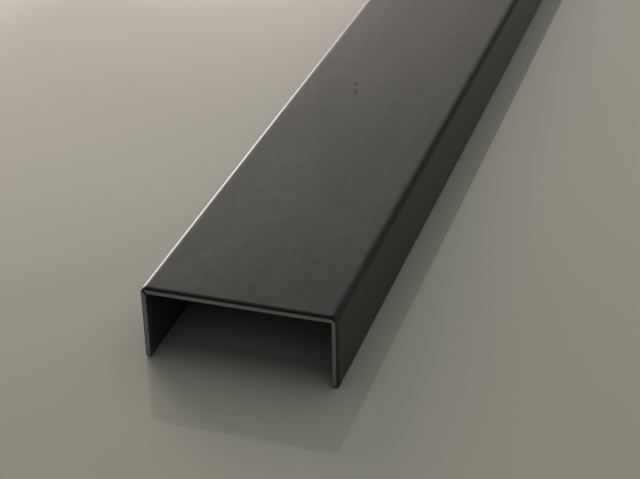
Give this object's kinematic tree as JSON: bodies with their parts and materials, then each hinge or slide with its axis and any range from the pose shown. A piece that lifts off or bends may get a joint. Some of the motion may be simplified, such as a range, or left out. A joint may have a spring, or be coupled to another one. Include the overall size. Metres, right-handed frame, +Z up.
{
  "type": "tile trim",
  "caption": "Long folded sheet-metal tile trim: an upside-down U channel with a wide flat show face and shallow flanges.",
  "frame": {"origin": "centre of the trim's bounding box, on the plane of the flanges' feet", "axes": "+Y along the stock, +X across the show face, +Z up from the feet to the show face"},
  "size_m": [0.025, 2.44, 0.01],
  "materials": {
    "steel": "coloured dark grey to black, semi-gloss"
  },
  "bodies": {
    "root": {"u_channel": "steel"}
  },
  "joints": []
}
